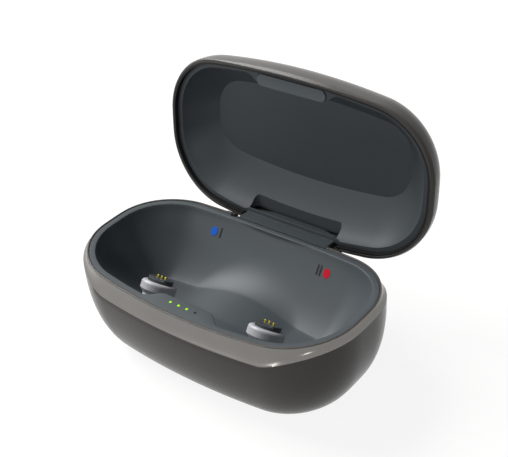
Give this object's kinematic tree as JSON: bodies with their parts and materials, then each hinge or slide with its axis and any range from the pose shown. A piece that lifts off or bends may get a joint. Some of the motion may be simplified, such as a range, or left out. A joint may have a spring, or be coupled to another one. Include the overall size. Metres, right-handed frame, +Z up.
{
  "type": "hearing aid charger",
  "caption": "Pocket charging case with a hinged lid, a rounded tray with tilted contact docks, status lights, a magnetic catch and a rear charging port.",
  "frame": {"origin": "centre of the foot pad's underside, on the surface that the case stands on", "axes": "+Z up, +X to the right seen from the front, front (status lights) towards -Y, hinge towards +Y"},
  "size_m": [0.096, 0.0741, 0.0791],
  "materials": {
    "shell": "satin metallic anthracite paint",
    "tray": "satin blue-grey moulding",
    "foot": "matt",
    "dark": "matt",
    "collar": "satin grey",
    "gold": "gold plated",
    "board": "green solder mask",
    "chip": "matt black",
    "steel": "zinc plated",
    "cell": "wrapped foil",
    "led": "clear cast",
    "lit": "glowing green",
    "unlit": "dark translucent",
    "magnet": "nickel plated",
    "blue": "gloss",
    "red": "gloss",
    "gasket": "matt black",
    "pad": "satin"
  },
  "bodies": {
    "base": {"base_shell": "shell", "foot_pad": "foot", "base_tray": "tray", "left_marker": "blue", "right_marker": "red", "left_dock": "collar", "right_dock": "collar", "left_contact_block": "dark", "right_contact_block": "dark", "pin_barrels": "gold", "dock_boards": "board", "main_board": "board", "board_chips": "chip", "board_screws": "steel", "battery_cell": "cell", "usb_socket": "steel", "light_strip": "board", "led_chips": "led", "light_guide_1": "lit", "light_guide_2": "lit", "light_guide_3": "lit", "light_guide_4": "unlit", "base_magnets": "magnet", "tray_screws": "steel", "hinge_pin": "steel"},
    "lid": {"lid_shell": "shell", "lid_liner": "tray", "lid_gasket": "gasket", "catch_pad": "pad", "lid_magnets": "magnet"},
    "left_pin_1": {"left_pin_1": "gold"},
    "left_pin_2": {"left_pin_2": "gold"},
    "left_pin_3": {"left_pin_3": "gold"},
    "right_pin_1": {"right_pin_1": "gold"},
    "right_pin_2": {"right_pin_2": "gold"},
    "right_pin_3": {"right_pin_3": "gold"}
  },
  "joints": [
    {"name": "lid_hinge", "type": "hinge", "parent": "base", "child": "lid", "pos_m": [0, 0.0256, 0.027], "axis": [1, 0, 0], "range_deg": [0, 94.3]},
    {"name": "left_pin_1_slide", "type": "slide", "parent": "base", "child": "left_pin_1", "axis": [0, -0.5878, -0.809], "range_m": [0, 0.0006], "stiffness_N_per_m": 200, "springref_m": -0.0006},
    {"name": "left_pin_2_slide", "type": "slide", "parent": "base", "child": "left_pin_2", "axis": [0, -0.5878, -0.809], "range_m": [0, 0.0006], "stiffness_N_per_m": 200, "springref_m": -0.0006},
    {"name": "left_pin_3_slide", "type": "slide", "parent": "base", "child": "left_pin_3", "axis": [0, -0.5878, -0.809], "range_m": [0, 0.0006], "stiffness_N_per_m": 200, "springref_m": -0.0006},
    {"name": "right_pin_1_slide", "type": "slide", "parent": "base", "child": "right_pin_1", "axis": [0, -0.5878, -0.809], "range_m": [0, 0.0006], "stiffness_N_per_m": 200, "springref_m": -0.0006},
    {"name": "right_pin_2_slide", "type": "slide", "parent": "base", "child": "right_pin_2", "axis": [0, -0.5878, -0.809], "range_m": [0, 0.0006], "stiffness_N_per_m": 200, "springref_m": -0.0006},
    {"name": "right_pin_3_slide", "type": "slide", "parent": "base", "child": "right_pin_3", "axis": [0, -0.5878, -0.809], "range_m": [0, 0.0006], "stiffness_N_per_m": 200, "springref_m": -0.0006}
  ]
}
